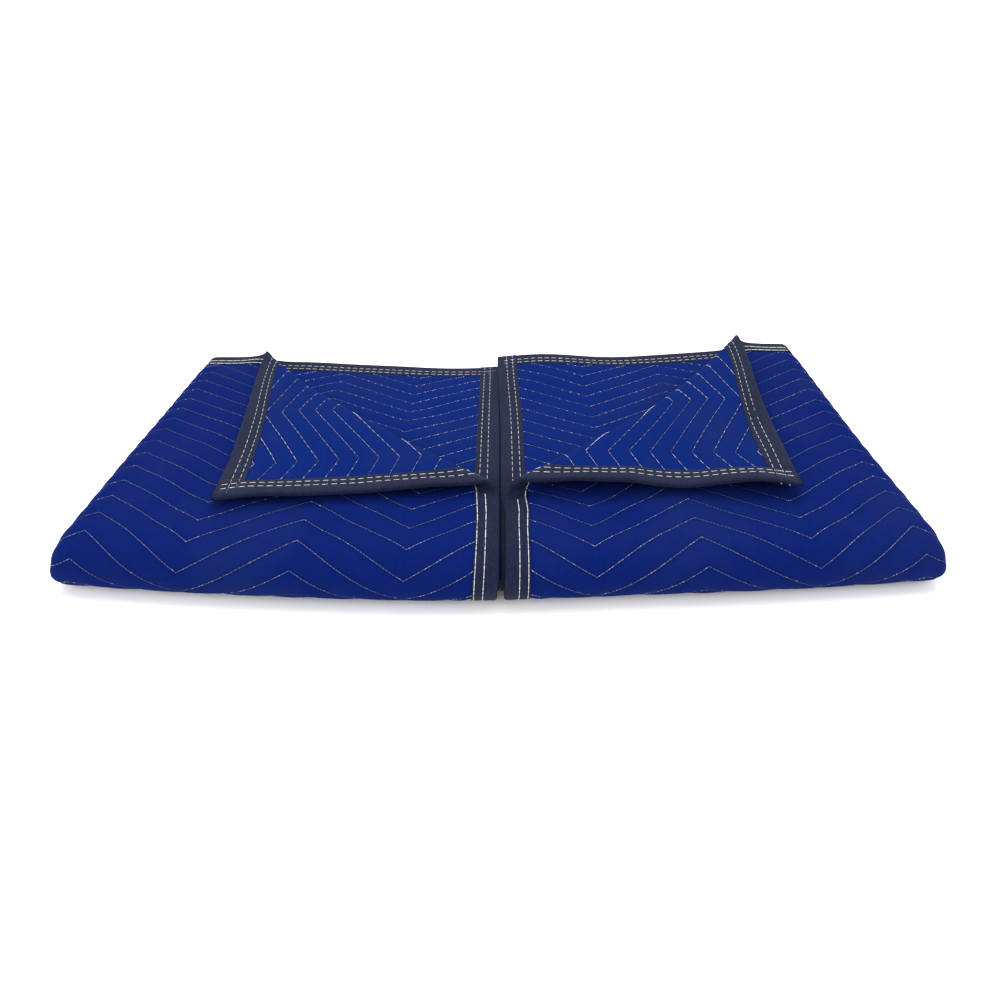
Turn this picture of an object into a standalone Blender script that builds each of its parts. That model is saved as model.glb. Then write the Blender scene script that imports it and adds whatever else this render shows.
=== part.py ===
"""Folded moving blanket.

One quilted cloth of about 72 by 80 inches, folded in half, then gate folded, then
folded in half again with the gates outside, and its two top corners turned back.
Four sewn edge bindings wrap its edges. Metres, +Z up, the rounded fold at -Y.

The cloth is laid out flat as (u, v, w): u along its 80 inch side, v along its
72 inch side, w from its outer face up to its inner face. Each fold is a function
that bends that space, so every layer and every binding follows the same folds.
"""

import math

import bmesh
import bpy
from mathutils import Vector
from mathutils.geometry import delaunay_2d_cdt

# Size of the folded stack and the slot between its two gates
FOLDED_WIDTH = 1.016
FOLDED_DEPTH = 0.452
GATE_SLOT = 0.008

# Thickness of the cloth and the air that each fold leaves between its layers
CLOTH = 0.0070
HALF_FOLD_AIR = 0.0016
GATE_FOLD_AIR = 0.0024
BOOK_FOLD_AIR = 0.0030

# Binding tape, and the cloth squeezed flat under it
TAPE_WIDTH = 0.028
TAPE_EDGE = 0.0010
TAPE_OUTER_HALF = 0.0030
TAPE_INNER_HALF = 0.0021
TAPE_CHAMFER = 0.0010
TAPE_CLEARANCE = 0.0005
PRESSED_HALF = 0.0016
PRESSED_WIDTH = 0.0290
SWELL_WIDTH = 0.0410

# Chevron quilting: rows run across the stack
ROW_PITCH = 0.028
CHEVRON_HALF = 0.1249
CHEVRON_RISE = 0.063
FIRST_VERTEX = 0.101
UPPER_SHIFT = 0.092
QUILT_DEPTH = 0.0018

# Straight pieces that stand for each rounded fold
HALF_FOLD_STEPS = 4
GATE_FOLD_STEPS = 6
BOOK_FOLD_STEPS = 8
CORNER_FOLD_STEPS = 6
PANEL_STEPS = 4
CORNER_LINE_STEPS = 6
WIDE_CELL = 0.05

# Lines of the flat cloth that come this close share a point
MERGE = 0.0004

# Turned-back corners: where the fold line meets the back edge and the gate's edge,
# measured from the corner; the roll's inner radius; the air under the flap at its
# far end and the length over which it comes down; how much the bias gives, and how
# far it slips along the fold
CORNERS = (
    {"side": -1, "back": 0.416, "centre": 0.360, "roll": 0.005, "air": 0.007, "down": 0.10,
     "give": 0.99, "slip": 0.06},
    {"side": 1, "back": 0.430, "centre": 0.376, "roll": 0.009, "air": 0.013, "down": 0.14,
     "give": 0.985, "slip": 0.15},
)

# How the stack lies: its front swells at the middle, its top is narrower than its
# base at the front, its right back corner is fuller and reaches further back, and
# its top is a little uneven
FRONT_SWELL = 0.026
TOP_NARROWER = 0.030
RIGHT_REACH = 0.016
PUFFS = (
    {"x": 0.47, "y": 0.44, "reach_x": 0.19, "reach_y": 0.17, "rise": 0.24},
    {"x": -0.14, "y": 0.45, "reach_x": 0.20, "reach_y": 0.16, "rise": -0.09},
    {"x": 0.24, "y": 0.16, "reach_x": 0.22, "reach_y": 0.16, "rise": 0.05},
    {"x": -0.26, "y": 0.14, "reach_x": 0.24, "reach_y": 0.16, "rise": 0.04},
)

# Sizes that follow from the folds
HALF_FOLD_RADIUS = CLOTH + HALF_FOLD_AIR / 2
HALF_FOLD_ARC = math.pi * (HALF_FOLD_RADIUS - CLOTH / 2)
PAIR = 2 * HALF_FOLD_RADIUS
GATE_FOLD_RADIUS = PAIR + GATE_FOLD_AIR / 2
GATE_FOLD_ARC = math.pi * (GATE_FOLD_RADIUS - CLOTH / 2)
QUAD = 2 * GATE_FOLD_RADIUS
BOOK_FOLD_RADIUS = QUAD + BOOK_FOLD_AIR / 2
BOOK_FOLD_ARC = math.pi * (BOOK_FOLD_RADIUS - CLOTH / 2)
GATE_FOLD_AT = FOLDED_WIDTH / 2 - GATE_FOLD_RADIUS
TOP_RUN = FOLDED_DEPTH - BOOK_FOLD_RADIUS
UNDER_RUN = TOP_RUN - HALF_FOLD_RADIUS
HALF_U = 2 * GATE_FOLD_AT + GATE_FOLD_ARC - GATE_SLOT / 2
HALF_V = HALF_FOLD_ARC / 2 + UNDER_RUN + BOOK_FOLD_ARC + TOP_RUN
BOOK_FOLD_AT = HALF_FOLD_ARC / 2 + UNDER_RUN
BOOK_FOLD_END = BOOK_FOLD_AT + BOOK_FOLD_ARC
GATE_FOLD_END = GATE_FOLD_AT + GATE_FOLD_ARC
CLOTH_EDGE = TAPE_EDGE + TAPE_CLEARANCE

# Faces that close the end of a binding, by their corners' places in its outline
TAPE_END_FACES = ((0, 1, 2, 9), (2, 3, 9), (3, 4, 8, 9), (4, 5, 8), (5, 6, 7, 8))


def smooth(t):
    """Ease from 0 to 1 as t goes from 0 to 1."""
    t = min(1.0, max(0.0, t))
    return t * t * (3.0 - 2.0 * t)


def corner_of(u):
    """Row of the corner table for the gate on u's side."""
    return CORNERS[0] if u < 0 else CORNERS[1]


def corner_arc(corner):
    """Length of cloth taken up by the roll of a turned-back corner."""
    return math.pi * (corner["roll"] + CLOTH / 2)


def past_corner_fold(corner, p, q):
    """Distance past a corner's fold line, towards the corner, of a point p from the
    gate's edge and q from the back edge, and the unit direction to the corner."""
    slope = Vector((1 / corner["back"], 1 / corner["centre"]))
    distance = (1 - p * slope.x - q * slope.y) / slope.length
    return distance, -slope.normalized()


def turn_corner(u, v, w):
    """Turn the two top corners of the lower half back over the outer face."""
    if v > 0:
        return u, v, w
    corner = corner_of(u)
    p = HALF_U - abs(u)
    q = v + HALF_V
    past, towards = past_corner_fold(corner, p, q)
    if past <= 0:
        return u, v, w
    arc = corner_arc(corner)
    roll = corner["roll"]
    if past < arc:
        angle = math.pi * past / arc
        reach = (roll + w) * math.sin(angle)
        level = -roll + (roll + w) * math.cos(angle)
    else:
        down = min(1.0, (past - arc) / corner["down"])
        air = 2 * roll + (corner["air"] - 2 * roll) * down
        reach = -(past - arc) * corner["give"]
        level = -air - w
        p -= (past - arc) * corner["slip"] * towards.y
        q += (past - arc) * corner["slip"] * towards.x
    p += (reach - past) * towards.x
    q += (reach - past) * towards.y
    return math.copysign(HALF_U - p, u), q - HALF_V, level


def half_fold(v, w):
    """Fold the upper half over the lower half, inner faces together."""
    half_arc = HALF_FOLD_ARC / 2
    if v <= -half_arc:
        return -v - half_arc, w
    if v >= half_arc:
        return v - half_arc, PAIR - w
    angle = math.pi * (v + half_arc) / HALF_FOLD_ARC
    radius = HALF_FOLD_RADIUS - w
    return -radius * math.sin(angle), HALF_FOLD_RADIUS - radius * math.cos(angle)


def gate_fold(u, w):
    """Fold both ends in to the middle."""
    across = abs(u)
    if across > GATE_FOLD_END:
        across, w = GATE_FOLD_AT - (across - GATE_FOLD_END), QUAD - w
    elif across > GATE_FOLD_AT:
        angle = math.pi * (across - GATE_FOLD_AT) / GATE_FOLD_ARC
        radius = GATE_FOLD_RADIUS - w
        across = GATE_FOLD_AT + radius * math.sin(angle)
        w = GATE_FOLD_RADIUS - radius * math.cos(angle)
    return math.copysign(across, u), w


def book_fold(along, w):
    """Fold the stack in half with the gates outside. Depth is from the fold's front."""
    radius = BOOK_FOLD_AIR / 2 + w
    if along <= UNDER_RUN:
        return BOOK_FOLD_RADIUS + UNDER_RUN - along, BOOK_FOLD_RADIUS - radius
    past = along - UNDER_RUN
    if past >= BOOK_FOLD_ARC:
        return BOOK_FOLD_RADIUS + past - BOOK_FOLD_ARC, BOOK_FOLD_RADIUS + radius
    angle = math.pi * past / BOOK_FOLD_ARC
    return BOOK_FOLD_RADIUS - radius * math.sin(angle), BOOK_FOLD_RADIUS - radius * math.cos(angle)


def settle(x, depth, z):
    """Let the folded stack swell and lie unevenly, with its underside flat."""
    across = x / (FOLDED_WIDTH / 2)
    along = depth / FOLDED_DEPTH
    lift = 0.0
    for puff in PUFFS:
        dx = (x - puff["x"]) / puff["reach_x"]
        dy = (depth - puff["y"]) / puff["reach_y"]
        lift += puff["rise"] * math.exp(-dx * dx - dy * dy)
    reach = RIGHT_REACH * smooth(across) * along
    swell = FRONT_SWELL * (1 - across * across) * (1 - along) ** 2
    lean = TOP_NARROWER * (1 - along) * (z / (2 * BOOK_FOLD_RADIUS)) ** 2
    return x * (1 - lean), depth + reach - swell, z * (1 + lift)


def fold(u, v, w):
    """Where a point of the flat cloth lies in the folded blanket."""
    u, v, w = turn_corner(u, v, w)
    along, w = half_fold(v, w)
    x, w = gate_fold(u, w)
    depth, z = book_fold(along, w)
    x, depth, z = settle(x, depth, z)
    middle = (FOLDED_DEPTH + RIGHT_REACH - FRONT_SWELL) / 2
    return Vector((x, depth - middle, z))


def first_vertex(upper):
    """Distance from the gate's edge to the first turn of a row, on one half."""
    return FIRST_VERTEX - UPPER_SHIFT if upper else FIRST_VERTEX


def chevron(u, upper):
    """Offset along v of every quilting row at u, 0 at one set of points."""
    steps = (HALF_U - first_vertex(upper) - abs(u)) / CHEVRON_HALF
    phase = steps % 2.0
    return CHEVRON_RISE * (phase if phase < 1 else 2 - phase)


def quilt_dip(u, v):
    """Depth of the quilting at (u, v): deepest on a row, nothing between two rows."""
    row = (v + chevron(u, v > 0)) / ROW_PITCH
    return QUILT_DEPTH * abs(2 * (row - math.floor(row)) - 1)


def face_level(u, v, inner):
    """Height w of the cloth's outer or inner face, with pressed edges and quilting."""
    edge = min(HALF_U - abs(u), HALF_V - abs(v))
    swell = min(1.0, max(0.0, (edge - PRESSED_WIDTH) / (SWELL_WIDTH - PRESSED_WIDTH)))
    half = PRESSED_HALF + (CLOTH / 2 - PRESSED_HALF) * swell
    if any(is_inside(region, u, v) for region in quilted_regions(inner)):
        half -= quilt_dip(u, v) * swell
    return CLOTH / 2 + (half if inner else -half)


def quilted_regions(inner):
    """Convex parts of a face whose quilting is raised: each a list of half planes
    (a, b, c) with a*u + b*v <= c. They are the faces that show."""
    regions = []
    for corner in CORNERS:
        side = corner["side"]
        length = math.hypot(1 / corner["back"], 1 / corner["centre"])
        fold_u = side / corner["back"] / length
        fold_v = -1 / corner["centre"] / length
        reach = (HALF_U / corner["back"] + HALF_V / corner["centre"] - 1) / length
        gate = [
            (side, 0.0, HALF_U - SWELL_WIDTH),
            (-side, 0.0, -GATE_FOLD_END),
        ]
        lower_edge = (0.0, -1.0, HALF_V - SWELL_WIDTH)
        if inner:
            flap = (-fold_u, -fold_v, -reach - corner_arc(corner))
            regions.append(gate + [lower_edge, flap])
            bared = (-fold_u, fold_v, -reach + 0.02)
            regions.append(gate + [(0.0, 1.0, HALF_V - SWELL_WIDTH), bared])
        else:
            front = (0.0, 1.0, -BOOK_FOLD_AT - BOOK_FOLD_ARC / 2)
            regions.append(gate + [lower_edge, front, (fold_u, fold_v, reach)])
    return regions


def is_inside(region, u, v):
    """Whether (u, v) lies in a convex region, its border included."""
    return all(a * u + b * v <= c + 1e-7 for a, b, c in region)


def clip(start, end, region):
    """The stretch of a straight line that lies in a convex region, or None."""
    low, high = 0.0, 1.0
    for a, b, c in region:
        at_start = a * start[0] + b * start[1] - c
        at_end = a * end[0] + b * end[1] - c
        if at_start > 0 and at_end > 0:
            return None
        if at_start * at_end < 0:
            crossing = at_start / (at_start - at_end)
            if at_start > 0:
                low = max(low, crossing)
            else:
                high = min(high, crossing)
    if high - low < 1e-4:
        return None
    span = (end[0] - start[0], end[1] - start[1])
    return tuple((start[0] + span[0] * t, start[1] + span[1] * t) for t in (low, high))


def spread(start, end, steps):
    """Evenly spaced values from start to end, both included."""
    return [start + (end - start) * i / steps for i in range(steps + 1)]


def fold_lines():
    """Values of u and v where the cloth needs an edge: at folds and edges ("firm"),
    and across flat panels ("loose")."""
    base = spread(0.0, GATE_FOLD_AT, PANEL_STEPS)[1:-1]
    gate = [GATE_FOLD_END + GATE_FOLD_AT - value for value in base]
    firm_u = [0.0, HALF_U - CLOTH_EDGE, HALF_U - PRESSED_WIDTH, HALF_U - SWELL_WIDTH]
    firm_u += spread(GATE_FOLD_AT, GATE_FOLD_END, GATE_FOLD_STEPS)
    panel = spread(0.0, TOP_RUN, PANEL_STEPS)[1:-1]
    under = [BOOK_FOLD_AT - value for value in panel]
    top = [BOOK_FOLD_END + value for value in panel]
    firm_v = [HALF_V - CLOTH_EDGE, HALF_V - PRESSED_WIDTH, HALF_V - SWELL_WIDTH]
    firm_v += spread(BOOK_FOLD_AT, BOOK_FOLD_END, BOOK_FOLD_STEPS)
    firm_v += spread(0.0, HALF_FOLD_ARC / 2, HALF_FOLD_STEPS // 2)
    return both_ways(firm_u), both_ways(base + gate), both_ways(firm_v), both_ways(under + top)


def both_ways(values):
    """The values and their negatives, in order, each once."""
    return sorted({round(sign * value, 9) + 0.0 for value in values for sign in (-1, 1)})


def chevron_rows(regions, upper):
    """Straight pieces of every quilting row of the upper or lower half, and of the
    crest halfway between two rows, inside the given regions."""
    first = first_vertex(upper)
    count = int((HALF_U - first) / CHEVRON_HALF)
    half_side = [HALF_U - first - CHEVRON_HALF * i for i in range(count + 1)]
    corners = both_ways(half_side + [0.0, HALF_U])
    pieces = []
    lines = int((2 * HALF_V + CHEVRON_RISE) / (ROW_PITCH / 2)) + 2
    regions = [region + [(0.0, -1.0 if upper else 1.0, 0.0)] for region in regions]
    for index in range(-1, lines):
        level = -HALF_V + index * ROW_PITCH / 2
        level = round(level / (ROW_PITCH / 2)) * ROW_PITCH / 2
        for left, right in zip(corners, corners[1:]):
            start = (left, level - chevron(left, upper))
            end = (right, level - chevron(right, upper))
            for region in regions:
                piece = clip(start, end, region)
                if piece:
                    pieces.append(piece)
    return pieces


def corner_lines():
    """Lines along each corner's roll, and where its flap comes down, up to the
    cloth's edges."""
    edge_region = [
        (1.0, 0.0, HALF_U - CLOTH_EDGE), (-1.0, 0.0, HALF_U - CLOTH_EDGE),
        (0.0, 1.0, HALF_V - CLOTH_EDGE), (0.0, -1.0, HALF_V - CLOTH_EDGE),
    ]
    pieces = []
    for corner in CORNERS:
        length = math.hypot(1 / corner["back"], 1 / corner["centre"])
        arc = corner_arc(corner)
        for past in spread(0.0, arc, CORNER_FOLD_STEPS) + [arc + corner["down"]]:
            left = 1 - past * length
            start = (corner["side"] * (HALF_U - corner["back"] * left), -HALF_V)
            end = (corner["side"] * HALF_U, -HALF_V + corner["centre"] * left)
            piece = clip(start, end, edge_region)
            if piece:
                (u, v), (far_u, far_v) = piece
                path = list(zip(spread(u, far_u, CORNER_LINE_STEPS), spread(v, far_v, CORNER_LINE_STEPS)))
                pieces.extend(zip(path, path[1:]))
    return pieces


def frame_pieces(regions):
    """Grid of fold lines and panel lines. Panel lines stop at quilted regions."""
    firm_u, loose_u, firm_v, loose_v = fold_lines()
    all_u = sorted(firm_u + loose_u)
    all_v = sorted(firm_v + loose_v)
    pieces = []
    for u in all_u:
        for low, high in zip(all_v, all_v[1:]):
            hidden = u in firm_u or not any(is_inside(r, u, (low + high) / 2) for r in regions)
            if hidden:
                pieces.append(((u, low), (u, high)))
    for v in all_v:
        for low, high in zip(all_u, all_u[1:]):
            hidden = v in firm_v or not any(is_inside(r, (low + high) / 2, v) for r in regions)
            if hidden:
                pieces.append(((low, v), (high, v)))
    return pieces


def panel_middles(regions):
    """Middle of each wide cell of the grid, so that stacked layers split their cells
    alike and stay parallel."""
    firm_u, loose_u, firm_v, loose_v = fold_lines()
    all_u = sorted(firm_u + loose_u)
    all_v = sorted(firm_v + loose_v)
    middles = []
    for left, right in zip(all_u, all_u[1:]):
        for low, high in zip(all_v, all_v[1:]):
            u = (left + right) / 2
            v = (low + high) / 2
            wide = right - left > WIDE_CELL and high - low > WIDE_CELL
            if wide and not any(is_inside(region, u, v) for region in regions):
                middles.append((u, v))
    return middles


def triangulate(pieces, middles):
    """Triangles of the flat cloth with every given line as an edge."""
    points, index, edges = [], {}, []
    for middle in middles:
        index[middle] = len(points)
        points.append(Vector(middle))
    for piece in pieces:
        ends = []
        for u, v in piece:
            key = (round(u, 6), round(v, 6))
            if key not in index:
                index[key] = len(points)
                points.append(Vector(key))
            ends.append(index[key])
        if ends[0] != ends[1]:
            edges.append(tuple(ends))
    result = delaunay_2d_cdt(points, edges, [], 0, MERGE, False)
    return result[0], result[2]


def build_cloth(name):
    """The quilted cloth as one closed body: outer face, inner face and rim."""
    mesh = bmesh.new()
    rims = []
    for inner in (False, True):
        regions = quilted_regions(inner)
        pieces = frame_pieces(regions) + corner_lines()
        pieces += chevron_rows(regions, False) + chevron_rows(regions, True)
        points, triangles = triangulate(pieces, panel_middles(regions))
        verts = [mesh.verts.new(fold(p.x, p.y, face_level(p.x, p.y, inner))) for p in points]
        for triangle in triangles:
            mesh.faces.new([verts[i] for i in triangle])
        rims.append(rim_of(points, verts))
    outer, inner = rims
    if [key for key, vert in outer] != [key for key, vert in inner]:
        raise ValueError("the two faces do not share one rim")
    for i in range(len(outer)):
        j = (i + 1) % len(outer)
        mesh.faces.new((outer[i][1], outer[j][1], inner[j][1], inner[i][1]))
    return add_piece(mesh, name, "quilted_cloth")


def rim_of(points, verts):
    """The vertices on the cloth's edge, in order round it."""
    reach_u = HALF_U - CLOTH_EDGE
    reach_v = HALF_V - CLOTH_EDGE
    rim = []
    for point, vert in zip(points, verts):
        if abs(point.x) > reach_u - 2e-5 or abs(point.y) > reach_v - 2e-5:
            angle = math.atan2(point.y / reach_v, point.x / reach_u)
            rim.append(((round(angle, 4)), vert))
    return sorted(rim, key=lambda item: item[0])


def tape_section():
    """Closed outline of a binding across its edge: (distance in from the edge,
    height above the middle of the cloth)."""
    upper = [
        (TAPE_WIDTH, TAPE_INNER_HALF),
        (TAPE_WIDTH, TAPE_OUTER_HALF),
        (TAPE_CHAMFER, TAPE_OUTER_HALF),
        (0.0, TAPE_OUTER_HALF - TAPE_CHAMFER),
    ]
    lower = [(d, -h) for d, h in reversed(upper)]
    inside = [(TAPE_EDGE, -TAPE_INNER_HALF), (TAPE_EDGE, TAPE_INNER_HALF)]
    return upper + lower + inside


def tape_stations(along_u, lower, trim):
    """Places along an edge, each (distance along at the edge, slant). Near a turned
    corner they lie along its roll, so that the tape bends as the cloth does."""
    firm_u, loose_u, firm_v, loose_v = fold_lines()
    reach = (HALF_U if along_u else HALF_V) - trim
    inset = HALF_U - CLOTH_EDGE if along_u else HALF_V - CLOTH_EDGE
    lines = firm_u + loose_u if along_u else firm_v + loose_v
    plain = [(value, 0.0) for value in lines if abs(value) < min(reach, inset) - 0.002]
    plain += [(-reach, 0.0), (reach, 0.0)]
    for corner in CORNERS:
        uses_corner = lower if along_u else corner["side"] == lower
        if not uses_corner:
            continue
        length = math.hypot(1 / corner["back"], 1 / corner["centre"])
        run = corner["back"] if along_u else corner["centre"]
        other = corner["centre"] if along_u else corner["back"]
        end = HALF_U * corner["side"] if along_u else -HALF_V
        turn = -math.copysign(1.0, end)
        arc = corner_arc(corner)
        slanted = []
        for past in spread(0.0, arc, CORNER_FOLD_STEPS) + [arc + corner["down"]]:
            slanted.append((end + turn * run * (1 - past * length), -turn * run / other))
        low = min(value for value, slant in slanted[:-1]) - 0.040
        high = max(value for value, slant in slanted[:-1]) + 0.040
        plain = [item for item in plain if not low < item[0] < high]
        near = slanted[-1][0]
        plain = [item for item in plain if abs(item[0] - near) > 0.036 or abs(item[0]) == reach]
        plain += slanted
    return sorted(plain)


def build_tape(name, along_u, side, lower, trim):
    """One binding: its outline is carried along the edge and through the folds."""
    mesh = bmesh.new()
    rings = []
    for value, slant in tape_stations(along_u, lower, trim):
        ring = []
        for inward, height in tape_section():
            along = value + slant * inward
            across = side * ((HALF_V if along_u else HALF_U) - inward)
            u, v = (along, across) if along_u else (across, along)
            ring.append(mesh.verts.new(fold(u, v, CLOTH / 2 + height)))
        rings.append(ring)
    for first, second in zip(rings, rings[1:]):
        for i in range(len(first)):
            j = (i + 1) % len(first)
            mesh.faces.new((first[i], first[j], second[j], second[i]))
    for ring in (rings[0], rings[-1]):
        for corners in TAPE_END_FACES:
            mesh.faces.new([ring[i] for i in corners])
    return add_piece(mesh, name, "binding_tape")


def make_material(name, colour, roughness):
    """Plain cloth finish."""
    material = bpy.data.materials.new(name)
    material.use_nodes = True
    shader = material.node_tree.nodes["Principled BSDF"]
    shader.inputs["Base Color"].default_value = (*colour, 1.0)
    shader.inputs["Roughness"].default_value = roughness
    shader.inputs["Metallic"].default_value = 0.0
    return material


def add_piece(mesh, name, material_name):
    """Turn a bmesh into a named object with its faces pointing out."""
    bmesh.ops.triangulate(mesh, faces=mesh.faces[:])
    bmesh.ops.recalc_face_normals(mesh, faces=mesh.faces[:])
    data = bpy.data.meshes.new(name)
    mesh.to_mesh(data)
    mesh.free()
    data.materials.append(bpy.data.materials[material_name])
    piece = bpy.data.objects.new(name, data)
    bpy.context.scene.collection.objects.link(piece)
    return piece


for old in list(bpy.data.objects):
    bpy.data.objects.remove(old, do_unlink=True)

make_material("quilted_cloth", (0.008, 0.020, 0.300), 0.88)
make_material("binding_tape", (0.016, 0.020, 0.065), 0.82)

build_cloth("quilted_cloth")
side_trim = TAPE_WIDTH + TAPE_CLEARANCE
build_tape("end_binding_left", False, -1, -1, 0.0)
build_tape("end_binding_right", False, 1, 1, 0.0)
build_tape("side_binding_top", True, -1, True, side_trim)
build_tape("side_binding_second", True, 1, False, side_trim)
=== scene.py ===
"""The looks of a folded moving blanket: its quilted cloth, sewn bindings and threads."""

import math

import bpy
import numpy as np
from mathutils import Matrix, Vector


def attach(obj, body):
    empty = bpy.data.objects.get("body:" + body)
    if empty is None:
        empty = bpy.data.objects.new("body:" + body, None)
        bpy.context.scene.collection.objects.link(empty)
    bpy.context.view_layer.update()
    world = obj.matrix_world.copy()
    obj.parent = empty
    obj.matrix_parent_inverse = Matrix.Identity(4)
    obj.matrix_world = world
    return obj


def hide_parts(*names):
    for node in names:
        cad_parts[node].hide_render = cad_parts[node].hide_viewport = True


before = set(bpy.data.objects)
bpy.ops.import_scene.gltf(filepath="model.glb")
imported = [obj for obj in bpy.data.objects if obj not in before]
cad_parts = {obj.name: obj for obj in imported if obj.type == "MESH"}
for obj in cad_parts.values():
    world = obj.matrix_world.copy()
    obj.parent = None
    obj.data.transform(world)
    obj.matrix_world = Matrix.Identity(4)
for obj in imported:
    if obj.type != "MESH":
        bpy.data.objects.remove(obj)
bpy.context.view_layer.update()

# The quilted cloth is one sheet: two woven shells with padding between, about 72 by 80
# inches. It is folded in half, gate folded, then folded in half with the gates outside,
# and its two top corners are turned back. The same folds carry the bindings and threads.
FOLDED_WIDTH = 1.016
FOLDED_DEPTH = 0.452
GATE_SLOT = 0.008
CLOTH = 0.0070
HALF_FOLD_AIR = 0.0016
GATE_FOLD_AIR = 0.0024
BOOK_FOLD_AIR = 0.0030
CORNERS = (
    {"side": -1, "back": 0.416, "centre": 0.360, "roll": 0.005, "air": 0.003, "down": 0.10,
     "give": 0.99, "slip": 0.035, "bow": 0.024, "wave": 0.0012},
    {"side": 1, "back": 0.430, "centre": 0.376, "roll": 0.009, "air": 0.009, "down": 0.14,
     "give": 0.985, "slip": 0.15, "bow": 0.028, "wave": 0.006},
)
BOW_REACH = 0.085
EDGE_CURL = 0.0065
CURL_WIDTH = 0.040
CURL_GROWTH = 0.05
LEAST_AIR = 0.0008
WAVE_LENGTH = 0.20
WAVE_DEPTH = 0.09
FRONT_SWELL = 0.026
TOP_NARROWER = 0.030
RIGHT_REACH = 0.016
LEFT_FRONT_REACH = 0.0065
LEFT_FRONT_FROM = 0.35
LEFT_FRONT_OVER = 0.5
PUFFS = (
    {"x": 0.47, "y": 0.44, "reach_x": 0.19, "reach_y": 0.17, "rise": 0.24},
    {"x": -0.14, "y": 0.45, "reach_x": 0.20, "reach_y": 0.16, "rise": -0.09},
    {"x": 0.24, "y": 0.16, "reach_x": 0.22, "reach_y": 0.16, "rise": 0.05},
    {"x": -0.26, "y": 0.14, "reach_x": 0.24, "reach_y": 0.16, "rise": 0.04},
)
GATES = (
    {"side": -1, "opens": -0.0036, "back": -0.014, "laps": 0.0, "lifts": 0.0},
    {"side": 1, "opens": 0.0022, "back": 0.006, "laps": 0.0052, "lifts": 0.0090},
)
GATE_SHUTS = -0.0036
GATE_SHIFT_REACH = 0.09
GATE_BACK_REACH = 0.24
LAP_REACH = 0.15
LAP_FROM = 0.20
KINK_AT = 0.036
KINK_WIDTH = 0.034
BELOW_FADE = 0.05

# Main creases and soft swells of the top: middle, heading in degrees,
# half length, half width and rise of each
CREASES = (
    {"x": 0.080, "y": 0.062, "heading": -6, "long": 0.075, "wide": 0.0090, "rise": -0.0022},
    {"x": 0.050, "y": 0.044, "heading": -22, "long": 0.045, "wide": 0.0080, "rise": 0.0018},
    {"x": 0.018, "y": 0.058, "heading": 8, "long": 0.018, "wide": 0.0045, "rise": 0.0022},
    {"x": -0.020, "y": 0.052, "heading": -14, "long": 0.020, "wide": 0.0050, "rise": 0.0018},
    {"x": -0.085, "y": 0.060, "heading": 12, "long": 0.055, "wide": 0.0100, "rise": -0.0020},
    {"x": -0.205, "y": 0.050, "heading": 18, "long": 0.060, "wide": 0.0140, "rise": -0.0022},
    {"x": -0.300, "y": 0.080, "heading": -32, "long": 0.090, "wide": 0.0220, "rise": 0.0026},
    {"x": -0.405, "y": 0.190, "heading": 74, "long": 0.150, "wide": 0.0300, "rise": 0.0030},
    {"x": -0.372, "y": 0.120, "heading": 66, "long": 0.110, "wide": 0.0200, "rise": -0.0026},
    {"x": -0.240, "y": 0.225, "heading": -44, "long": 0.130, "wide": 0.0450, "rise": 0.0040},
    {"x": -0.300, "y": 0.320, "heading": -52, "long": 0.080, "wide": 0.0240, "rise": -0.0030},
    {"x": -0.120, "y": 0.310, "heading": -38, "long": 0.090, "wide": 0.0260, "rise": -0.0030},
    {"x": 0.170, "y": 0.052, "heading": 10, "long": 0.110, "wide": 0.0180, "rise": -0.0018},
    {"x": 0.285, "y": 0.230, "heading": 50, "long": 0.120, "wide": 0.0420, "rise": 0.0042},
    {"x": 0.345, "y": 0.190, "heading": 64, "long": 0.070, "wide": 0.0180, "rise": -0.0036},
    {"x": 0.210, "y": 0.340, "heading": 42, "long": 0.090, "wide": 0.0240, "rise": -0.0032},
    {"x": 0.110, "y": 0.390, "heading": 20, "long": 0.080, "wide": 0.0200, "rise": 0.0022},
    {"x": 0.430, "y": 0.150, "heading": -70, "long": 0.140, "wide": 0.0280, "rise": 0.0030},
    {"x": 0.395, "y": 0.070, "heading": -40, "long": 0.080, "wide": 0.0200, "rise": -0.0028},
    {"x": -0.060, "y": 0.450, "heading": 0, "long": 0.110, "wide": 0.080, "rise": -0.0065},
    {"x": 0.075, "y": 0.450, "heading": 0, "long": 0.090, "wide": 0.080, "rise": 0.0070},
    {"x": -0.405, "y": 0.445, "heading": 60, "long": 0.040, "wide": 0.022, "rise": 0.0055},
    {"x": 0.415, "y": 0.450, "heading": -60, "long": 0.040, "wide": 0.022, "rise": 0.0045},
    {"x": -0.140, "y": 0.072, "heading": -8, "long": 0.050, "wide": 0.0070, "rise": 0.0016},
    {"x": 0.130, "y": 0.075, "heading": 4, "long": 0.060, "wide": 0.0075, "rise": 0.0018},
)
RIPPLES = (
    {"across": 11.0, "along": 7.0, "start": 0.4, "rise": 0.0007},
    {"across": -17.0, "along": 13.0, "start": 1.9, "rise": 0.0006},
    {"across": 29.0, "along": 31.0, "start": 4.1, "rise": 0.0004},
    {"across": -43.0, "along": 23.0, "start": 2.6, "rise": 0.0003},
)

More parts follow.
